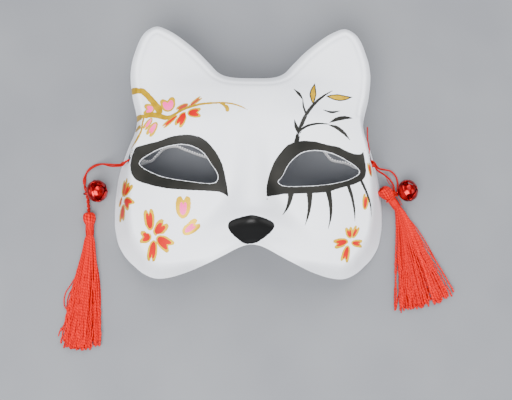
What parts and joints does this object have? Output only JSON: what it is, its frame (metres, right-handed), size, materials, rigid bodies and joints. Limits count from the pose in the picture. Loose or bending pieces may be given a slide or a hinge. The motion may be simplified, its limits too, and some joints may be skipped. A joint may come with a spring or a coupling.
{
  "type": "half-face fox mask",
  "caption": "Half-face fox mask of thin moulded plastic with hand-painted blossom, lying face up, with an elastic head strap and red cords that carry bells and tassels.",
  "frame": {"origin": "middle of the mask's footprint, on the surface that the rims of its side walls rest on, cords and tassels left out", "axes": "+X to the right of the face as one looks at it, +Y towards the ears, +Z out of the face"},
  "size_m": [0.2593, 0.2059, 0.0696],
  "materials": {
    "shell_plastic": "satin white with hand-painted decoration",
    "white_elastic": "braided",
    "red_cord": "twisted, slight sheen",
    "bell_metal": "transparent red lacquer on bright metal",
    "tassel_thread": "smooth thread",
    "binding_thread": "wound thread"
  },
  "bodies": {
    "root": {"mask_shell": "shell_plastic", "elastic_strap": "white_elastic", "cord_left": "red_cord", "cord_right_upper": "red_cord", "cord_right_lower": "red_cord", "bell_left": "bell_metal", "bell_right": "bell_metal", "tassel_left": "tassel_thread", "tassel_right": "tassel_thread", "tassel_binding_left": "binding_thread", "tassel_binding_right": "binding_thread"}
  },
  "joints": []
}
